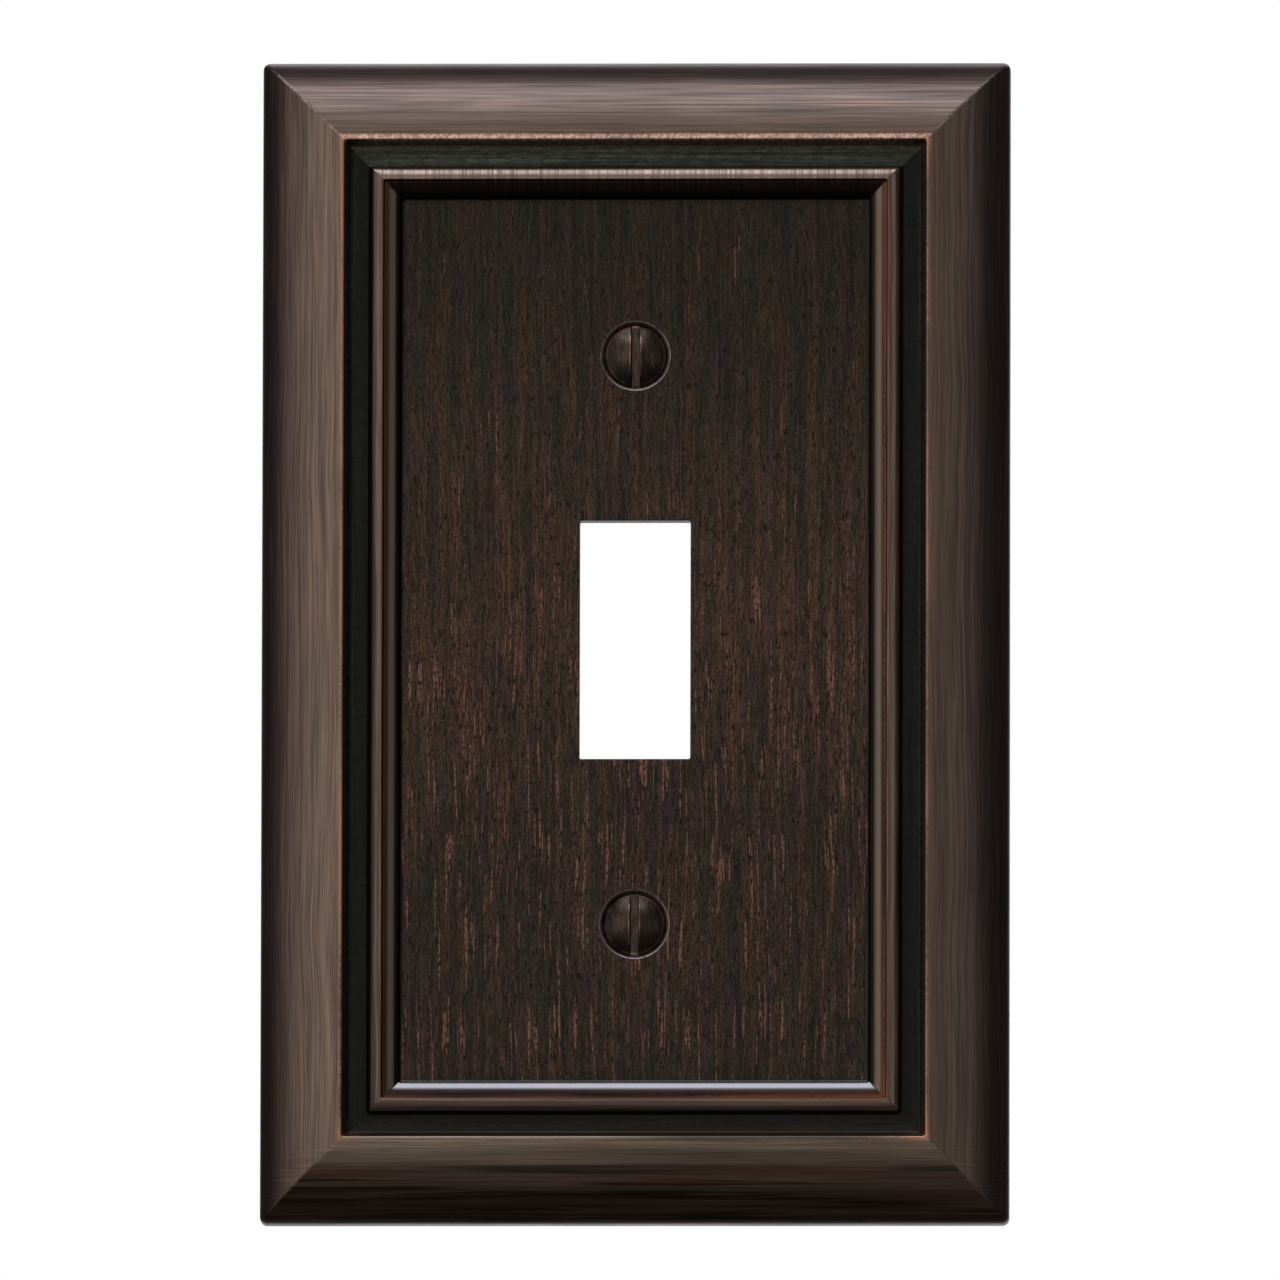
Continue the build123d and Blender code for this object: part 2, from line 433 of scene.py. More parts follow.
def apply_modifiers(piece):
    """Keeps the evaluated mesh and drops the modifiers."""
    bpy.context.view_layer.update()
    graph = bpy.context.evaluated_depsgraph_get()
    data = bpy.data.meshes.new_from_object(piece.evaluated_get(graph), depsgraph=graph)
    data.name = piece.name
    piece.modifiers.clear()
    piece.data = data


# --- the plate ---

def back_section():
    """From the panel's inner face, through the hollow behind the band, to the rim on the wall."""
    corners = [(BACK_START_D, BACK_H, 0), (GROOVE_FOOT_D, BACK_H, BACK_R)]
    corners += [(GROOVE_TOP_D, GROOVE_TOP_H, BACK_R)]
    hollow = ellipse((GROOVE_TOP_D, EDGE_H), GROOVE_TOP_D - RIM_W, GROOVE_TOP_H - EDGE_H, 90, 180, steps=18)
    corners += hollow[2:]
    corners += [(RIM_W, 0, RIM_R), (RIM_W / 2, 0, 0)]
    return softened(corners)


def front_section():
    """From the rim on the wall, over the band, channel and bead, to the panel's face."""
    arris_angle = math.degrees(math.acos((BAND_A - ARRIS_D) / BAND_A))
    band = ellipse((BAND_A, EDGE_H), BAND_A, BAND_B, 180, 180 - arris_angle, steps=40)
    bead_a = BEAD_CREST_D - BEAD_WALL_D
    bead_b = BEAD_CREST_H - BEAD_WALL_H
    bead = ellipse((BEAD_CREST_D, BEAD_WALL_H), bead_a, bead_b, 180, 90, steps=14)
    corners = [(RIM_W / 2, 0, 0), (0, 0, RIM_R)]
    corners += band[:-2]
    corners += [(*band[-1][:2], ARRIS_R)]
    corners += [(CHANNEL_D, CHANNEL_H, CHANNEL_R), (BEAD_FOOT_D, CHANNEL_H, BEAD_FOOT_R)]
    corners += bead[1:-1]
    corners += [(*bead[-1][:2], BEAD_EDGE_R), (STEP_D, STEP_H, STEP_R), (LIP_D, LIP_H, LIP_R)]
    corners += [(LIP_END_D, LIP_END_H, LIP_END_R), (PANEL_D, PANEL_H, PANEL_R), (PANEL_START_D, PANEL_H, 0)]
    return softened(corners)


def moulding_loop(mesh, point, radius, behind=0.0):
    """One loop of the moulding, at a point (distance in, height) of its section."""
    loop = rectangle_loop(HALF_W - point.x, HALF_H - point.x, radius, steps_x=40, steps_z=62)
    return add_loop(mesh, loop, point.y, behind)


def near_opening(point, toggle_margin, hole_radius):
    """Is this (x, z) point in the toggle opening or its margin, or near a hole's centre?"""
    over_x = abs(point.x) < TOGGLE_W / 2 + toggle_margin
    over_z = abs(point.y) < TOGGLE_H / 2 + toggle_margin
    from_hole = (Vector((point.x, abs(point.y))) - Vector((0, SCREW_Z))).length
    return (over_x and over_z) or from_hole < hole_radius


def open_in_front(point):
    """The part of the panel's face that the openings' own loops already cover."""
    return near_opening(point, FRONT_APRON + LITTLE, SINK_R + FRONT_APRON + LITTLE)


def open_in_back(point):
    """The part of the panel's inner face that the rim, bosses and pin marks already cover."""
    in_mark = any((point - Vector(mark)).length < PIN_MARK_R + MARK_APRON + LITTLE for mark in PIN_MARKS)
    apron = BACK_APRON + LITTLE
    return in_mark or near_opening(point, TOGGLE_RIM_W + apron, BOSS_R + apron)


def toggle_section():
    """Through the toggle opening: x is the distance out from its edge, y the height."""
    rim_h = BACK_H - TOGGLE_RIM_H
    corners = [
        (FRONT_APRON, PANEL_H, 0),
        (0, PANEL_H, TOGGLE_EDGE_R),
        (0, rim_h, TOGGLE_EDGE_R),
        (TOGGLE_RIM_W, rim_h, 0.2),
        (TOGGLE_RIM_W + 0.1, BACK_H, 0.25),
        (TOGGLE_RIM_W + BACK_APRON, BACK_H, 0),
    ]
    return softened(corners, steps=4)


def hole_section():
    """Through a screw hole: x is the radius, y the height."""
    sink_h = PANEL_H - 0.1 - (SINK_R - HOLE_R) / SINK_TAN
    corners = [
        (SINK_R + FRONT_APRON, PANEL_H, 0),
        (SINK_R + 0.08, PANEL_H, 0.14),
        (HOLE_R, sink_h, 0.1),
        (HOLE_R, BOSS_H, 0.15),
        (BOSS_R, BOSS_H, 0.3),
        (BOSS_R + 0.15, BACK_H, 0.35),
        (BOSS_R + BACK_APRON, BACK_H, 0),
    ]
    return softened(corners, steps=4)


def pin_mark(mesh, x, z):
    """The shallow round mark that an ejector pin leaves, with the thin witness ring around it."""
    offsets = [(MARK_APRON, 0), (0.12, 0), (0.06, -0.05), (0, -0.05), (-0.05, 0.02), (-0.1, PIN_MARK_DEPTH)]
    section = [(PIN_MARK_R + out, depth) for out, depth in offsets] + [(PIN_MARK_R / 2, PIN_MARK_DEPTH)]
    loops = [add_loop(mesh, circle_loop(x, z, r, 36), BACK_H + depth, 1.0) for r, depth in section]
    join_loops(mesh, loops)
    mesh.faces.new(loops[-1])
    return loops[0]


def toggle_loop(mesh, point):
    """One loop through the toggle opening, at a point of its section."""
    half_x = TOGGLE_W / 2 + point.x
    half_z = TOGGLE_H / 2 + point.x
    outline = rectangle_loop(half_x, half_z, TOGGLE_R + point.x, steps_x=6, steps_z=12, steps_corner=4)
    return add_loop(mesh, outline, point.y, float(point.y <= BACK_H))


def build_plate():
    """The whole casting: the moulding from back to front, the openings and the two flat faces."""
    mesh = new_mesh()
    loops = [moulding_loop(mesh, point, GROOVE_R, 1.0) for point in back_section()[:-1]]
    for point in front_section():
        radius = max(OUTLINE_R - OUTLINE_TAPER * point.x, MITRE_R)
        loops.append(moulding_loop(mesh, point, radius))
    join_loops(mesh, loops)

    toggle_loops = [toggle_loop(mesh, point) for point in toggle_section()]
    join_loops(mesh, toggle_loops)

    front_holes = [toggle_loops[0]]
    back_holes = [toggle_loops[-1]]
    for height in (SCREW_Z, -SCREW_Z):
        hole_loops = []
        for point in hole_section():
            circle = circle_loop(0, height, point.x)
            hole_loops.append(add_loop(mesh, circle, point.y, float(point.y <= BACK_H)))
        join_loops(mesh, hole_loops)
        front_holes.append(hole_loops[0])
        back_holes.append(hole_loops[-1])
    back_holes += [pin_mark(mesh, x, z) for x, z in PIN_MARKS]

    fill_between(mesh, loops[-1], front_holes, PANEL_H, open_in_front)
    fill_between(mesh, loops[0], back_holes, BACK_H, open_in_back, 1.0)
    plate = finished_piece(mesh, "plate_casting")
    apply_modifiers(plate)
    return plate


# --- the screws ---

def head_section():
    """Outline of the screw's head, without its slot: (radius, depth below its top, rounding)."""
    sphere = (HEAD_R**2 + HEAD_DOME**2) / (2 * HEAD_DOME)
    steps = 16
    corners = []
    for step in range(1, steps + 1):
        radius = HEAD_R * step / steps
        corners.append((radius, sphere - math.sqrt(sphere**2 - radius**2), 0))
    cone_top = HEAD_DOME + HEAD_RIM
    neck_top = cone_top + (HEAD_R - NECK_R) / SINK_TAN
    corners[-1] = (HEAD_R, HEAD_DOME, 0.06)
    corners += [(HEAD_R, cone_top, 0.05), (NECK_R, neck_top, 0.12)]
    return corners


def thread_radius(angle, along):
    """Radius of the threaded shank at an angle and a distance along the screw, both from its start."""
    phase = (along / THREAD_PITCH - angle / (2 * math.pi)) % 1
    rise = min(max((1 - abs(2 * phase - 1) - THREAD_ROOT) / THREAD_FLANKS, 0), 1)
    return ROOT_R + (CREST_R - ROOT_R) * rise


def thread_loop(mesh, height, along, thread_length):
    """One loop of the threaded shank, a distance along it."""
    fade_in = min(1, (along + 0.15) / FADE_IN)
    fade_out = min(1, (thread_length - along) / FADE_OUT)
    tip_r = ROOT_R - TIP_DROP
    points = []
    for index in range(SCREW_SIDES):
        angle = 2 * math.pi * index / SCREW_SIDES
        radius = thread_radius(angle, along)
        radius = NECK_R + (radius - NECK_R) * fade_in
        radius = min(radius, tip_r + (CREST_R - tip_r) * fade_out)
        points.append(Vector((radius * math.cos(angle), height + radius * math.sin(angle))))
    return add_loop(mesh, points, THREAD_START_H - along)


def build_screw(name, height):
    """Oval-head screw with its helical thread, slot upright, seated at z = height."""
    head_top = -SCREW_LOW.y / MM
    tip = -SCREW_HIGH.y / MM
    thread_length = THREAD_START_H - tip
    neck_end = head_top - THREAD_START_H - NECK_LENGTH
    mesh = new_mesh()
    loops = []
    for point in softened(head_section() + [(NECK_R, neck_end, 0)], steps=3):
        circle = circle_loop(0, height, point.x, SCREW_SIDES)
        loops.append(add_loop(mesh, circle, head_top - point.y))
    for step in range(THREAD_STEPS + 1):
        loops.append(thread_loop(mesh, height, thread_length * step / THREAD_STEPS, thread_length))
    join_loops(mesh, loops)
    mesh.faces.new(loops[0])
    mesh.faces.new(loops[-1])
    screw = finished_piece(mesh, name)
    cut_slot(screw, head_top, height)
    apply_modifiers(screw)
    return screw


def cut_slot(screw, head_top, height):
    """Cuts the driver slot across the head and breaks its edges."""
    floor_h = head_top - SLOT_DEPTH
    section = softened(
        [
            (-SLOT_W / 2, head_top + 1, 0),
            (-SLOT_W / 2, floor_h, SLOT_R),
            (SLOT_W / 2, floor_h, SLOT_R),
            (SLOT_W / 2, head_top + 1, 0),
        ],
        steps=4,
    )
    mesh = bmesh.new()
    ends = []
    for side in (-1, 1):
        z = height + side * HEAD_R * 1.3
        ends.append([mesh.verts.new((p.x * MM, -p.y * MM, z * MM)) for p in section])
    join_loops(mesh, ends)
    for end in ends:
        mesh.faces.new(end)
    bmesh.ops.recalc_face_normals(mesh, faces=mesh.faces)
    cutter = as_object(mesh, "slot_cutter")
    cut = screw.modifiers.new("slot", "BOOLEAN")
    cut.operation = "DIFFERENCE"
    cut.solver = "EXACT"
    cut.object = cutter
    broken = screw.modifiers.new("broken_edges", "BEVEL")
    broken.width = BROKEN_EDGE * MM
    broken.segments = 2
    broken.limit_method = "ANGLE"
    broken.angle_limit = math.radians(38)
    screw.modifiers.move(0, 2)  # the normals are weighted after the cut
    apply_modifiers(screw)
    bpy.data.objects.remove(cutter)


# --- materials ---

class Finish:
    """A metal finish: short calls for the nodes of one material."""

    def __init__(self, name, coat, coat_roughness):
        self.material = bpy.data.materials.new(name)
        self.material.use_nodes = True
        self.tree = self.material.node_tree
        self.shader = self.tree.nodes["Principled BSDF"]
        self.shader.inputs["Metallic"].default_value = 1.0
        self.shader.inputs["Coat Weight"].default_value = coat
        self.shader.inputs["Coat Roughness"].default_value = coat_roughness
        place = self.node("ShaderNodeTexCoord").outputs["Object"]
        scaled = self.node("ShaderNodeVectorMath", operation="SCALE")
        self.tree.links.new(place, scaled.inputs[0])
        scaled.inputs["Scale"].default_value = 1 / MM
        parts = self.node("ShaderNodeSeparateXYZ")
        self.tree.links.new(scaled.outputs[0], parts.inputs[0])
        self.x, self.y, self.z = parts.outputs

    def node(self, kind, **settings):
        """A new node with its settings."""
        made = self.tree.nodes.new(kind)
        for name, value in settings.items():
            setattr(made, name, value)
        return made

    def feed(self, socket, value):
        """Links another node's output to a socket, or sets the socket to a number or colour."""
        if isinstance(value, bpy.types.NodeSocket):
            self.tree.links.new(value, socket)
        elif isinstance(value, tuple) and len(value) == 3 and socket.type == "RGBA":
            socket.default_value = (*value, 1)
        else:
            socket.default_value = value

    def math(self, operation, *values):
        """The result of a math node."""
        made = self.node("ShaderNodeMath", operation=operation)
        for socket, value in zip(made.inputs, values):
            self.feed(socket, value)
        return made.outputs[0]

    def product(self, *values):
        """Several values multiplied together."""
        result = values[0]
        for value in values[1:]:
            result = self.math("MULTIPLY", result, value)
        return result

    def plus(self, first, second):
        """One value added to another."""
        return self.math("ADD", first, second)

    def minus(self, first, second):
        """One value less another."""
        return self.math("SUBTRACT", first, second)

    def size(self, value):
        """A value without its sign."""
        return self.math("ABSOLUTE", value)

    def vector(self, x, y, z):
        """A vector from three values."""
        made = self.node("ShaderNodeCombineXYZ")
        for socket, value in zip(made.inputs, (x, y, z)):
            self.feed(socket, value)
        return made.outputs[0]

    def stretched(self, fx, fy, fz, x=None):
        """The place, or one with another x, with so many features per millimetre each way."""
        place = (x or self.x, self.y, self.z)
        return self.vector(*[self.product(part, many) for part, many in zip(place, (fx, fy, fz))])

    def noise(self, vector, detail=2.0, roughness=0.5, distortion=0.0):
        """Noise at a place, about 0.5 on average."""
        made = self.node("ShaderNodeTexNoise")
        self.feed(made.inputs["Vector"], vector)
        made.inputs["Scale"].default_value = 1
        made.inputs["Detail"].default_value = detail
        made.inputs["Roughness"].default_value = roughness
        made.inputs["Distortion"].default_value = distortion
        return made.outputs["Fac"]

    def between(self, value, low, high, out_low=0.0, out_high=1.0):
        """Smooth step of a value from low to high, held at both ends."""
        made = self.node("ShaderNodeMapRange", interpolation_type="SMOOTHSTEP")
        for socket, part in zip(made.inputs, (value, low, high, out_low, out_high)):
            self.feed(socket, part)
        return made.outputs[0]

    def fall(self, value, low, high):
        """Smooth step from 1 at low to 0 at high."""
        return self.between(value, low, high, 1.0, 0.0)

    def line(self, value, centre, width):
        """1 where value is at the centre, falling to 0 at the width from it."""
        offset = self.size(self.minus(value, centre))
        return self.fall(offset, 0.0, width)

    def mixed(self, kind, sockets, output, values):
        """The output of a mix node of one kind, with the values in the given sockets."""
        made = self.node("ShaderNodeMix", data_type=kind)
        for socket, value in zip(sockets, values):
            self.feed(made.inputs[socket], value)
        return made.outputs[output]

    def mix(self, *values):
        """From a factor and two colours: the first at factor 0, the second at 1."""
        return self.mixed("RGBA", (0, 6, 7), 2, values)

    def mix_value(self, *values):
        """The same for two numbers."""
        return self.mixed("FLOAT", (0, 2, 3), 0, values)

    def mix_vector(self, *values):
        """The same for two vectors."""
        return self.mixed("VECTOR", (0, 4, 5), 1, values)

    def times(self, colour, tint):
        """A colour multiplied by a tint, channel by channel."""
        made = self.node("ShaderNodeVectorMath", operation="MULTIPLY")
        self.feed(made.inputs[0], colour)
        self.feed(made.inputs[1], tint)
        return made.outputs[0]

    def scaled(self, colour, factor):
        """A colour made lighter or darker."""
        made = self.node("ShaderNodeVectorMath", operation="SCALE")
        self.feed(made.inputs[0], colour)
        self.feed(made.inputs["Scale"], factor)
        return made.outputs[0]

    def profile(self, distance, reach, stops):
        """Colour by distance: (distance, colour) stops from 0 to reach."""
        made = self.node("ShaderNodeValToRGB")
        elements = made.color_ramp.elements
        for _ in stops[2:]:
            elements.new(0.5)
        for element, (at, colour) in zip(elements, stops):
            element.position = at / reach
            element.color = (*colour, 1)
        self.feed(made.inputs[0], self.math("DIVIDE", distance, reach))
        return made.outputs[0]

    def opposite(self, mask):
        """1 where a mask is 0, and 0 where it is 1."""
        return self.minus(1.0, mask)

    def painted(self, colour, mask, strength, paint):
        """The colour with paint over it where the mask is 1, at most at the given strength."""
        return self.mix(self.product(mask, strength), colour, paint)

    def from_screw_axis(self):
        """Distance from the axis of the nearer screw."""
        over = self.minus(self.size(self.z), SCREW_Z)
        return self.math("SQRT", self.plus(self.math("POWER", self.x, 2.0), self.math("POWER", over, 2.0)))

    def spots(self, name):
        """The noise that a row of SPOTS describes."""
        scale, detail, roughness, distortion = SPOTS[name]
        return self.noise(self.stretched(*scale), detail, roughness, distortion)

    def finish(self, colour, roughness, height, depth):
        """Joins colour, roughness and a bump of the given depth in millimetres to the shader."""
        self.feed(self.shader.inputs["Base Color"], colour)
        self.feed(self.shader.inputs["Roughness"], roughness)
        bump = self.node("ShaderNodeBump")
        bump.inputs["Strength"].default_value = 1
        bump.inputs["Distance"].default_value = depth * MM
        self.feed(bump.inputs["Height"], height)
        self.feed(self.shader.inputs["Normal"], bump.outputs[0])


class PlateFinish(Finish):
    """Oil-rubbed bronze: brushed dark lacquer with copper where edges are rubbed, and painted light and
    shade on the panel, channel, bead, arris and lip.
    """

    def __init__(self):
        super().__init__("aged_bronze_brushed", coat=0.22, coat_roughness=0.2)
        self.find_regions()
        self.find_brushing()
        self.find_wear()
        colour = self.brushed_metal()
        for layer in (
            self.with_channel, self.with_lower_band, self.with_side_feet, self.with_bead, self.with_panel,
            self.with_panel_marks, self.with_arris_wear_and_highlight, self.with_bead_wear_and_shade, self.with_lip,
            self.with_openings, self.with_back,
        ):
            colour = layer(colour)
        self.finish(colour, self.gloss(), self.relief(), PLATE_RELIEF)

    def find_regions(self):
        """Distances from the outline, and a mask for each part of the plate."""
        self.from_side = self.minus(HALF_W, self.size(self.x))
        self.from_end = self.minus(HALF_H, self.size(self.z))
        self.from_mitre = self.size(self.minus(self.from_side, self.from_end))
        self.inset = self.math("MINIMUM", self.from_side, self.from_end)
        self.upward = self.between(self.z, -HALF_H, HALF_H)
        self.below = self.math("LESS_THAN", self.z, 0.0)
        self.above = self.opposite(self.below)
        self.on_end = self.math("GREATER_THAN", self.from_side, self.from_end)
        self.on_side = self.opposite(self.on_end)
        self.on_top = self.product(self.on_end, self.above)
        self.on_bottom = self.product(self.on_end, self.below)
        self.on_band = self.math("LESS_THAN", self.inset, ARRIS_D)
        before_bead = self.math("LESS_THAN", self.inset, BEAD_FOOT_D)
        self.in_channel = self.product(self.opposite(self.on_band), before_bead)
        self.in_panel = self.between(self.inset, LIP_END_D, PANEL_START_D)
        self.from_hole = self.from_screw_axis()
        self.in_cone = self.fall(self.from_hole, SINK_R - 0.1, SINK_R)
        self.on_back = self.node("ShaderNodeAttribute", attribute_name="back_side").outputs["Fac"]

    def strokes(self, name):
        """The noise of a row of STROKES: lying on the ends of the moulding, upright elsewhere."""
        across, along, detail, roughness = STROKES[name]
        upright = self.stretched(across, STROKES_DEEP, along, self.bent_x)
        lying = self.stretched(along, STROKES_DEEP, across)
        return self.noise(self.mix_vector(self.lies, upright, lying), detail, roughness)

    def find_brushing(self):
        """The brush strokes, and on the panel the grain between them."""
        self.bent_x = self.plus(self.x, self.product(self.spots("wander"), WANDER_REACH))
        lying_reach = self.mix_value(self.below, BEAD_FOOT_D, PANEL_D)
        self.lies = self.product(self.on_end, self.math("LESS_THAN", self.inset, lying_reach))
        foot_fade = self.between(self.z, 3.0 - HALF_H, 11.0 - HALF_H, 0.6, 0.0)
        crossed = self.product(foot_fade, self.on_band, self.on_side)
        stroke = self.mix_value(0.5, self.strokes("hair"), self.strokes("lines"))
        stroke = self.mix_value(crossed, stroke, self.spots("cross"))
        mottled = self.mix_value(0.5, self.strokes("grain"), stroke)
        self.texture = self.mix_value(self.in_panel, stroke, mottled)
        self.broad = self.strokes("broad")
        self.column = self.strokes("column")
        self.blotches = self.spots("blotches")
        pits = self.between(self.strokes("pits"), 0.60, 0.67)
        self.pits = self.product(self.in_panel, pits)
        turns = self.product(self.from_hole, HOLE_TURNS)
        self.turned = self.noise(self.vector(turns, 0.0, 0.0), detail=2)
        self.sand = self.spots("sand")
        self.flow = self.spots("flow")

    def find_wear(self):
        """How rubbed each place is, the copper along the arris, wider on top where it also holds a painted
        highlight, and the bare lip, which on the bottom is a painted highlight.
        """
        self.ragged = self.spots("ragged")
        patchy = self.product(self.spots("patchy"), 0.6)
        rub = self.plus(self.product(self.ragged, 0.4), patchy)
        self.rub = self.plus(rub, self.between(self.from_mitre, 0.0, 5.0, 0.16, 0.0))
        # on top the arris mask is wider, for copper wear with a painted highlight on it
        top_wear_and_highlight = self.product(self.between(self.inset, 8.0, 8.35), self.fall(self.inset, 9.15, 9.4))
        arris_wear_and_highlight = self.mix_value(self.on_top, self.line(self.inset, ARRIS_D - 0.1, 0.55), top_wear_and_highlight)
        least_rub = self.mix_value(self.on_end, 0.40, self.mix_value(self.below, 0.28, 0.52))
        rubbed = self.between(self.rub, least_rub, self.plus(least_rub, 0.2))
        self.arris = self.product(arris_wear_and_highlight, rubbed)
        # the lip's mask sits further in on the bottom, where it holds the painted highlight
        lip_start = self.mix_value(self.on_bottom, STEP_D + 0.25, LIP_D - 0.1)
        lip = self.between(self.inset, lip_start, self.plus(lip_start, 0.45))
        lip_end = self.mix_value(self.on_bottom, LIP_END_D - 0.6, LIP_END_D)
        lip = self.product(lip, self.fall(self.inset, lip_end, self.plus(lip_end, 0.3)))
        self.lip = self.product(lip, self.opposite(self.on_top))

    def brushed_metal(self):
        """Dark and light strokes, each coloured by the distance in."""
        dark = self.profile(self.inset, MOULDING_REACH, [(at, dark) for at, dark, _ in STROKE_STOPS])
        light = self.profile(self.inset, MOULDING_REACH, [(at, light) for at, _, light in STROKE_STOPS])
        colour = self.mix(self.between(self.texture, 0.38, 0.62), dark, light)
        uneven = self.mix_value(0.5, self.broad, self.blotches)
        return self.scaled(colour, self.between(uneven, 0.38, 0.62, 0.92, 1.08))

    def with_channel(self, colour):
        """The channel with painted light on each side: much lighter on top, darker on the sides and bottom,
        with a scribbled scratch pattern.
        """
        # painted light: the channel is made much lighter on the top side, lightest towards the bead, and
        # darker on the sides and bottom
        upper_painted_light = self.between(self.inset, 9.8, 10.8, 3.2, 6.0)
        tone = self.mix_value(self.on_end, 0.6, self.mix_value(self.below, upper_painted_light, 0.8))
        tone = self.product(tone, self.between(self.spots("scribble"), 0.4, 0.62, 0.75, 1.35))
        return self.scaled(colour, self.mix_value(self.in_channel, 1.0, tone))

    def with_lower_band(self, colour):
        """Sooty and russet strokes on the lower band, and the stained edge of its channel."""
        on_lower = self.product(self.on_bottom, self.on_band)
        tint = self.profile(self.inset, MOULDING_REACH, LOWER_TINTS)
        tint = self.scaled(tint, self.between(self.broad, 0.35, 0.65, 0.7, 1.3))
        colour = self.mix(on_lower, colour, self.times(colour, tint))
        outward = self.product(on_lower, self.between(self.inset, 4.5, 6.5, 0.8, 0.2))
        soot_and_shade = self.between(self.strokes("soot"), 0.46, 0.60)
        colour = self.mix(self.product(outward, soot_and_shade), colour, SOOT)
        russet = self.between(self.strokes("russet"), 0.54, 0.66)
        colour = self.mix(self.product(outward, russet), colour, RUSSET)
        stained = self.between(self.inset, 9.2, 10.4, 0.75, 0.0)
        return self.mix(self.product(self.on_bottom, self.in_channel, stained), colour, CHANNEL_STAIN)

    def with_side_feet(self, colour):
        """Rusty patches on the outer side bands, above their lower ends."""
        outer = self.fall(self.inset, 0.5, 4.0)
        foot = self.line(self.z, 13.0 - HALF_H, 10.0)
        patches = self.between(self.blotches, 0.4, 0.55, 0.35, 0.8)
        return self.mix(self.product(self.on_band, self.on_side, outer, foot, patches), colour, FOOT_RUST)

    def with_bead(self, colour):
        """The bead with painted light: lighter on the ends and on the right, darker on the left."""
        past_foot = self.math("GREATER_THAN", self.inset, BEAD_FOOT_D)
        on_bead = self.product(past_foot, self.math("LESS_THAN", self.inset, STEP_D))
        # painted light: the bead is darker on its left side and lighter on its right side and on the ends
        side_painted_light = self.between(self.x, -1.0, 1.0, 0.62, 1.25)
        tone = self.mix_value(self.on_end, side_painted_light, self.mix_value(self.below, 1.3, 1.35))
        return self.scaled(colour, self.mix_value(on_bead, 1.0, tone))

    def with_panel(self, colour):
        """The panel's painted light from end to end, with reddish, greenish and plum columns."""
        # painted light: a pool of light a little above the panel's middle, darkest at its upper end
        pooled_light = self.times(colour, self.profile(self.upward, 1.0, PANEL_LIGHT_POOL))
        colour = self.mix(self.in_panel, colour, pooled_light)
        red = self.times(colour, RED_TINT)
        green = self.times(colour, GREEN_TINT)
        colour = self.painted(colour, self.in_panel, self.between(self.column, 0.5, 0.6), red)
        colour = self.painted(colour, self.in_panel, self.between(self.column, 0.5, 0.4), green)
        plum = self.times(colour, PLUM_TINT)
        colour = self.painted(colour, self.in_panel, self.between(self.strokes("plum"), 0.54, 0.62), plum)
        fibre = self.between(self.strokes("fibre"), 0.3, 0.7, 0.66, 1.38)
        return self.scaled(colour, self.mix_value(self.in_panel, 1.0, fibre))

    def with_panel_marks(self, colour):
        """Short copper dashes with a dark flank, fewer towards the ends, and dark pits."""
        dots = self.strokes("dots")
        rows = self.strokes("rows")
        fewer = self.between(self.upward, 0.35, 0.95, 0.0, 0.12)
        fewer = self.plus(fewer, self.between(self.upward, 0.10, 0.22, 0.025, 0.0))
        rare = self.plus(fewer, self.between(self.column, 0.35, 0.65, 0.64, 0.55))
        in_row = self.between(rows, rare, self.plus(rare, 0.07))
        dash = self.product(self.in_panel, in_row, self.between(dots, 0.36, 0.6, 0.25, 1.0))
        flank = self.between(rows, self.minus(rare, 0.07), self.minus(rare, 0.02))
        flank = self.product(self.in_panel, flank, self.between(dots, 0.42, 0.58, 0.8, 0.1))
        colour = self.mix(flank, colour, DASH_FLANK)
        colour = self.mix(dash, colour, DASH_COPPER)
        return self.painted(colour, self.pits, 0.9, PIT_BLACK)

    def with_arris_wear_and_highlight(self, colour):
        """Bright scratches on the band, copper along its inner edge and in its corners, brighter and wider
        on top as a painted highlight.
        """
        glints = self.product(self.on_band, self.between(self.strokes("glints"), 0.58, 0.70))
        colour = self.painted(colour, glints, 0.55, BAND_GLINT)
        scratches = self.between(self.spots("scratches"), 0.35, 0.65, 0.6, 1.25)
        # on the top side the copper is a painted highlight as well as wear
        copper = self.mix(self.on_top, ARRIS_COPPER, self.scaled(TOP_COPPER_HIGHLIGHT, scratches))
        colour = self.mix(self.arris, colour, copper)
        near_mitre = self.fall(self.from_mitre, 0.4, 2.6)
        on_edge = self.line(self.inset, ARRIS_D - 0.1, 0.8)
        corner = self.product(near_mitre, on_edge, self.between(self.ragged, 0.3, 0.55))
        return self.painted(colour, corner, 0.55, CORNER_COPPER)

    def with_bead_wear_and_shade(self, colour):
        """Copper along the bead's crest, except on top, where the lip under it is darkened as painted shade.
        """
        crest = self.line(self.inset, BEAD_CREST_D + 0.15, 0.5)
        crest = self.product(crest, self.between(self.rub, 0.36, 0.6))
        rightward = self.between(self.x, -30.0, 30.0, 0.35, 1.0)
        crest = self.product(crest, self.opposite(self.on_top), rightward)
        colour = self.mix(crest, colour, CREST_COPPER)
        # painted shade: on the top side the lip below the bead's crest is darkened to 0.45
        soot_and_shade = self.product(self.on_top, self.between(self.inset, 12.9, 13.1))
        soot_and_shade = self.product(soot_and_shade, self.fall(self.inset, 14.7, 15.0))
        return self.scaled(colour, self.mix_value(soot_and_shade, 1.0, 0.45))

    def with_lip(self, colour):
        """The rubbed outline, the bare lip with a painted highlight on it below, and painted glints on the
        upper mitres.
        """
        outline = self.fall(self.inset, 0.0, 0.5)
        outline = self.product(outline, self.between(self.rub, 0.5, 0.66))
        colour = self.painted(colour, outline, 0.7, OUTLINE_COPPER)
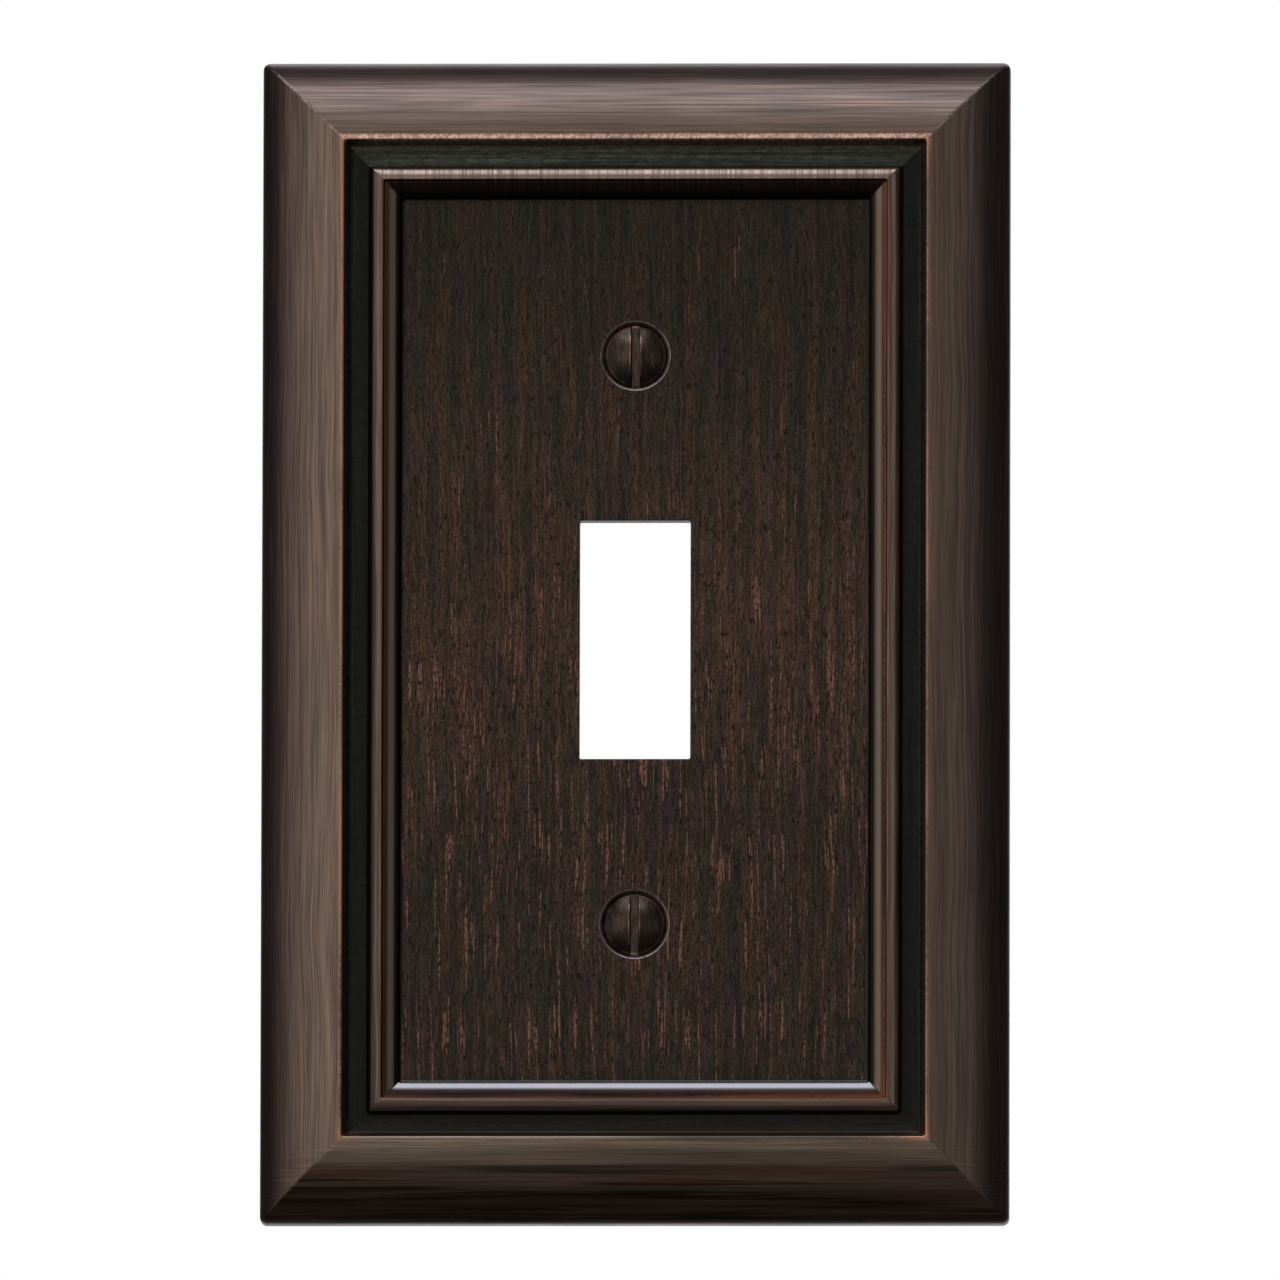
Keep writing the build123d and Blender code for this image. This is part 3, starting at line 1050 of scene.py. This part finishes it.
        # on the bottom the lip's colour is a painted highlight; on the sides it is wear
        bare = self.mix(self.on_bottom, LIP_BROWN, LIP_HIGHLIGHT)
        colour = self.painted(colour, self.lip, 0.92, bare)
        on_mitre = self.line(self.from_mitre, 0.0, 0.26)
        glint = self.product(on_mitre, self.on_band, self.above, self.between(self.ragged, 0.44, 0.6))
        return self.painted(colour, glint, 0.6, MITRE_GLINT)

    def with_openings(self, colour):
        """The turned cones of the screw holes, their bright rims and the toggle opening's edge."""
        cone = self.scaled(CONE_GREY, self.between(self.turned, 0.3, 0.7, 0.5, 1.4))
        colour = self.mix(self.in_cone, colour, cone)
        rim = self.line(self.from_hole, SINK_R + 0.03, 0.15)
        rim = self.product(rim, self.between(self.ragged, 0.25, 0.5))
        colour = self.mix(rim, colour, SINK_RIM)
        past_x = self.minus(self.size(self.x), TOGGLE_W / 2)
        past_z = self.minus(self.size(self.z), TOGGLE_H / 2)
        edge = self.line(self.math("MAXIMUM", past_x, past_z), 0.05, 0.16)
        edge = self.product(edge, self.between(self.ragged, 0.42, 0.6))
        return self.painted(colour, edge, 0.6, TOGGLE_COPPER)

    def with_back(self, colour):
        """The hidden back: the same finish sprayed thin over the grainy casting."""
        cast = self.scaled(CAST_BROWN, self.between(self.sand, 0.3, 0.7, 0.7, 1.3))
        cast = self.mix(self.between(self.flow, 0.4, 0.75, 0.0, 0.6), cast, CAST_GREY)
        return self.mix(self.on_back, colour, cast)

    def gloss(self):
        """Roughness: smoother on the lip, arris and cones, duller on the back."""
        stops = [(at, (level,) * 3) for at, level in ROUGH_STOPS]
        roughness = self.profile(self.inset, MOULDING_REACH, stops)
        roughness = self.plus(roughness, self.between(self.texture, 0.3, 0.7, 0.07, -0.07))
        for mask, level in ((self.lip, 0.26), (self.arris, 0.3), (self.in_cone, 0.3), (self.on_back, 0.55)):
            roughness = self.mix_value(mask, roughness, level)
        return roughness

    def relief(self):
        """Height of the brushed face, the turned cones and the grainy back."""
        brushed = self.mix_value(self.lip, self.texture, 0.5)
        brushed = self.minus(brushed, self.product(self.pits, 0.3))
        face = self.mix_value(self.in_cone, brushed, self.turned)
        rough_cast = self.plus(self.product(self.sand, 3.2), self.product(self.flow, 2.0))
        return self.mix_value(self.on_back, face, rough_cast)


class ScrewFinish(Finish):
    """The same bronze on the head, zinc plating left bare on the shank."""

    def __init__(self):
        super().__init__("screw_bronze_turned", coat=0.3, coat_roughness=0.22)
        self.radius = self.from_screw_axis()
        self.height = self.product(self.y, -1.0)
        self.fine = self.spots("fine")
        self.blotch = self.spots("blotch")
        turns = (self.product(part, SHANK_TURNS) for part in (self.radius, self.y))
        turned = self.noise(self.vector(*turns, 0.0), detail=2)
        on_edge = self.worn_edges()
        bronze_start = self.plus(self.height, self.product(self.blotch, 1.2))
        coated = self.between(bronze_start, 2.6, 3.6)
        colour = self.mix(coated, self.zinc(turned), self.bronze(on_edge))
        roughness = self.mix_value(coated, 0.34, self.between(self.fine, 0.3, 0.7, 0.46, 0.36))
        roughness = self.mix_value(on_edge, roughness, 0.3)
        self.finish(colour, roughness, self.mix_value(coated, turned, self.fine), SCREW_RELIEF)

    def worn_edges(self):
        """Where the head's rim and the slot's edges are rubbed."""
        rim = self.line(self.radius, HEAD_R - 0.06, 0.22)
        slot = self.line(self.size(self.x), SLOT_W / 2 + 0.04, 0.13)
        on_head = self.between(self.height, PANEL_H + 0.15, PANEL_H + 0.3)
        edges = self.math("MAXIMUM", rim, self.product(slot, on_head))
        return self.product(edges, self.between(self.blotch, 0.36, 0.56))

    def bronze(self, on_edge):
        """Dark bronze with finely brushed strokes and rubbed edges."""
        colour = self.mix(self.between(self.fine, 0.38, 0.62), HEAD_DARK, HEAD_LIGHT)
        colour = self.scaled(colour, self.between(self.blotch, 0.35, 0.65, 0.8, 1.25))
        return self.painted(colour, on_edge, 0.85, HEAD_COPPER)

    def zinc(self, turned):
        """Bare plating with turned rings and dull patches."""
        colour = self.scaled(ZINC_BRIGHT, self.between(turned, 0.3, 0.7, 0.75, 1.15))
        return self.mix(self.between(self.blotch, 0.5, 0.7), colour, ZINC_DULL)


plate = build_plate()
upper_screw = build_screw("upper_screw_steel", SCREW_Z)
lower_screw = build_screw("lower_screw_steel", -SCREW_Z)
plate.data.materials.append(PlateFinish().material)
turned_bronze = ScrewFinish().material
upper_screw.data.materials.append(turned_bronze)
lower_screw.data.materials.append(turned_bronze)

for piece, node, body, slot in (
    (plate, "cover_plate", "plate", "aged_bronze"),
    (upper_screw, "upper_screw", "upper_screw", "screw_bronze"),
    (lower_screw, "lower_screw", "lower_screw", "screw_bronze"),
):
    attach(piece, body)
    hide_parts(node)


# --- studio ---

def direction(azimuth, elevation):
    """Unit vector from the object: azimuth 0 is straight in front, 90 is to its right (+X)."""
    a = math.radians(azimuth)
    e = math.radians(elevation)
    return Vector((math.sin(a) * math.cos(e), -math.cos(a) * math.cos(e), math.sin(e)))


def aim(thing, place, target, roll=0.0):
    """Puts a light or camera somewhere and points it at the target."""
    thing.location = place
    thing.rotation_mode = "QUATERNION"
    turn = (target - place).to_track_quat("-Z", "Y")
    thing.rotation_quaternion = turn @ Matrix.Rotation(math.radians(roll), 4, "Z").to_quaternion()
    bpy.context.scene.collection.objects.link(thing)


def softbox(name, azimuth, elevation, distance, width, height, radiance, colour):
    """A soft rectangular light of the given brightness, seen only in reflections."""
    light = bpy.data.lights.new(name, "AREA")
    light.shape = "RECTANGLE"
    light.size = width
    light.size_y = height
    light.energy = radiance * width * height * WATTS_PER_RADIANCE
    light.color = colour
    lamp = bpy.data.objects.new(name, light)
    lamp.visible_camera = False
    aim(lamp, CENTRE + direction(azimuth, elevation) * distance, CENTRE)


def grey(level):
    """An opaque grey colour."""
    return (level, level, level, 1)


def studio_world():
    """White behind the object for the camera, dim grey for the light that falls on it."""
    world = bpy.data.worlds.new("studio")
    world.use_nodes = True
    tree = world.node_tree
    background = tree.nodes["Background"]
    mix = tree.nodes.new("ShaderNodeMix")
    mix.data_type = "RGBA"
    mix.inputs[6].default_value = grey(WORLD_GREY)
    mix.inputs[7].default_value = grey(1.0)
    path = tree.nodes.new("ShaderNodeLightPath")
    tree.links.new(path.outputs["Is Camera Ray"], mix.inputs[0])
    tree.links.new(mix.outputs[2], background.inputs["Color"])
    bpy.context.scene.world = world


def pale_floor():
    """A wide plain floor well below the object, which hangs on its wall."""
    mesh = bmesh.new()
    bmesh.ops.create_grid(mesh, x_segments=8, y_segments=8, size=FLOOR_REACH)
    floor = as_object(mesh, "floor")
    floor.location = (0, 0, CAD_BOX[0].z - FLOOR_DROP)
    floor.visible_glossy = False
    paint = bpy.data.materials.new("pale_floor")
    paint.use_nodes = True
    shader = paint.node_tree.nodes["Principled BSDF"]
    shader.inputs["Base Color"].default_value = grey(FLOOR_GREY)
    shader.inputs["Roughness"].default_value = FLOOR_ROUGHNESS
    floor.data.materials.append(paint)


def camera():
    """Long lens a little below and right of straight ahead."""
    lens = bpy.data.cameras.new("camera")
    lens.lens = CAMERA_LENS
    lens.clip_end = 20
    width_at_plate = (PLATE_HIGH.x - PLATE_LOW.x) / PLATE_SHARE
    distance = width_at_plate * CAMERA_LENS / lens.sensor_width
    eye = bpy.data.objects.new("camera", lens)
    target = CENTRE + Vector(AIM_OFFSET) * MM
    aim(eye, target + direction(CAMERA_AZIMUTH, CAMERA_ELEVATION) * distance, target, CAMERA_ROLL)
    bpy.context.scene.camera = eye


studio_world()
for settings in SOFTBOXES:
    softbox(*settings)
pale_floor()
camera()
bpy.context.scene.view_settings.view_transform = "Standard"
